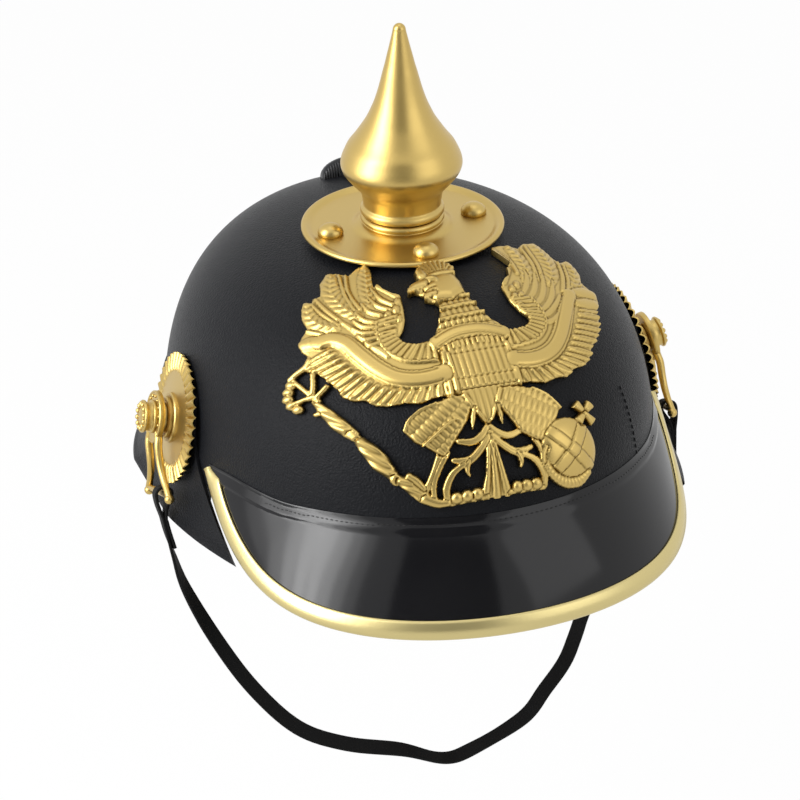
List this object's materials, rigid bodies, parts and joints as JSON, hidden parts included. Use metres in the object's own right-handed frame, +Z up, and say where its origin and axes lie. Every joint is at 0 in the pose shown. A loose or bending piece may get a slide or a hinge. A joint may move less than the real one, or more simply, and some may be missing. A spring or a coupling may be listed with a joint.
{
  "type": "spiked parade helmet",
  "caption": "Domed black parade helmet with front visor, neck guard, screwed gilt spike, eagle front plate, side cockades and a hanging chin strap.",
  "frame": {"origin": "centre of the head opening, level with the shell's foot", "axes": "+Z up to the spike, -Y to the front visor, +X to the viewer's right when the helmet faces them"},
  "size_m": [0.225, 0.2966, 0.2965],
  "materials": {
    "grained_black": "fine grained near-black, satin",
    "dark_band": "near-black, satin",
    "patent_black": "gloss black",
    "pale_brass": "satin pale brass",
    "gilt": "satin gilt, lightly polished on the high parts",
    "steel": "plain",
    "tan_leather": "matt tan",
    "black_cord": "braided cotton",
    "strap_black": "smooth black"
  },
  "bodies": {
    "helmet": {"shell": "grained_black", "front_visor": "patent_black", "visor_trim": "pale_brass", "neck_guard": "grained_black", "rear_spine": "dark_band", "spine_rivets": "steel", "spike_plate": "gilt", "plate_studs": "gilt", "stud_nuts": "steel", "spike_socket": "steel", "eagle_plate": "gilt", "eagle_screws": "steel", "eagle_nuts": "steel", "left_cockade": "gilt", "right_cockade": "gilt", "left_post": "steel", "right_post": "steel", "left_post_nut": "steel", "right_post_nut": "steel", "sweatband": "tan_leather", "band_rivets": "steel", "crown_lining": "tan_leather", "lining_cord": "black_cord"},
    "spike": {"spike": "gilt"},
    "left_lug": {"left_lug": "gilt"},
    "right_lug": {"right_lug": "gilt"},
    "left_knob": {"left_knob": "gilt"},
    "right_knob": {"right_knob": "gilt"},
    "chin_strap": {"chin_strap": "strap_black"}
  },
  "joints": [
    {"name": "spike_screw", "type": "hinge", "parent": "helmet", "child": "spike", "pos_m": [0, 0, 0.112], "axis": [0, 0, 1], "continuous": true},
    {"name": "left_knob_screw", "type": "hinge", "parent": "helmet", "child": "left_knob", "pos_m": [-0.0962, -0.003, 0.0383], "axis": [-0.9744, 0, 0.225], "continuous": true},
    {"name": "right_knob_screw", "type": "hinge", "parent": "helmet", "child": "right_knob", "pos_m": [0.0962, -0.003, 0.0383], "axis": [0.9744, 0, 0.225], "continuous": true},
    {"name": "strap_swing", "type": "hinge", "parent": "helmet", "child": "chin_strap", "pos_m": [0, -0.00323, 0.04046], "axis": [-1, 0, 0], "range_deg": [-30, 10]},
    {"name": "left_lug_swing", "type": "hinge", "parent": "helmet", "child": "left_lug", "pos_m": [-0.0962, -0.003, 0.0383], "axis": [-0.9744, 0, 0.225], "range_deg": [-30, 10]},
    {"name": "right_lug_swing", "type": "hinge", "parent": "helmet", "child": "right_lug", "pos_m": [0.0962, -0.003, 0.0383], "axis": [-0.9744, 0, -0.225], "range_deg": [-30, 10]}
  ],
  "couplings": [
    {"joint": "left_lug_swing", "follows": "strap_swing", "ratio": 1},
    {"joint": "right_lug_swing", "follows": "strap_swing", "ratio": 1}
  ]
}
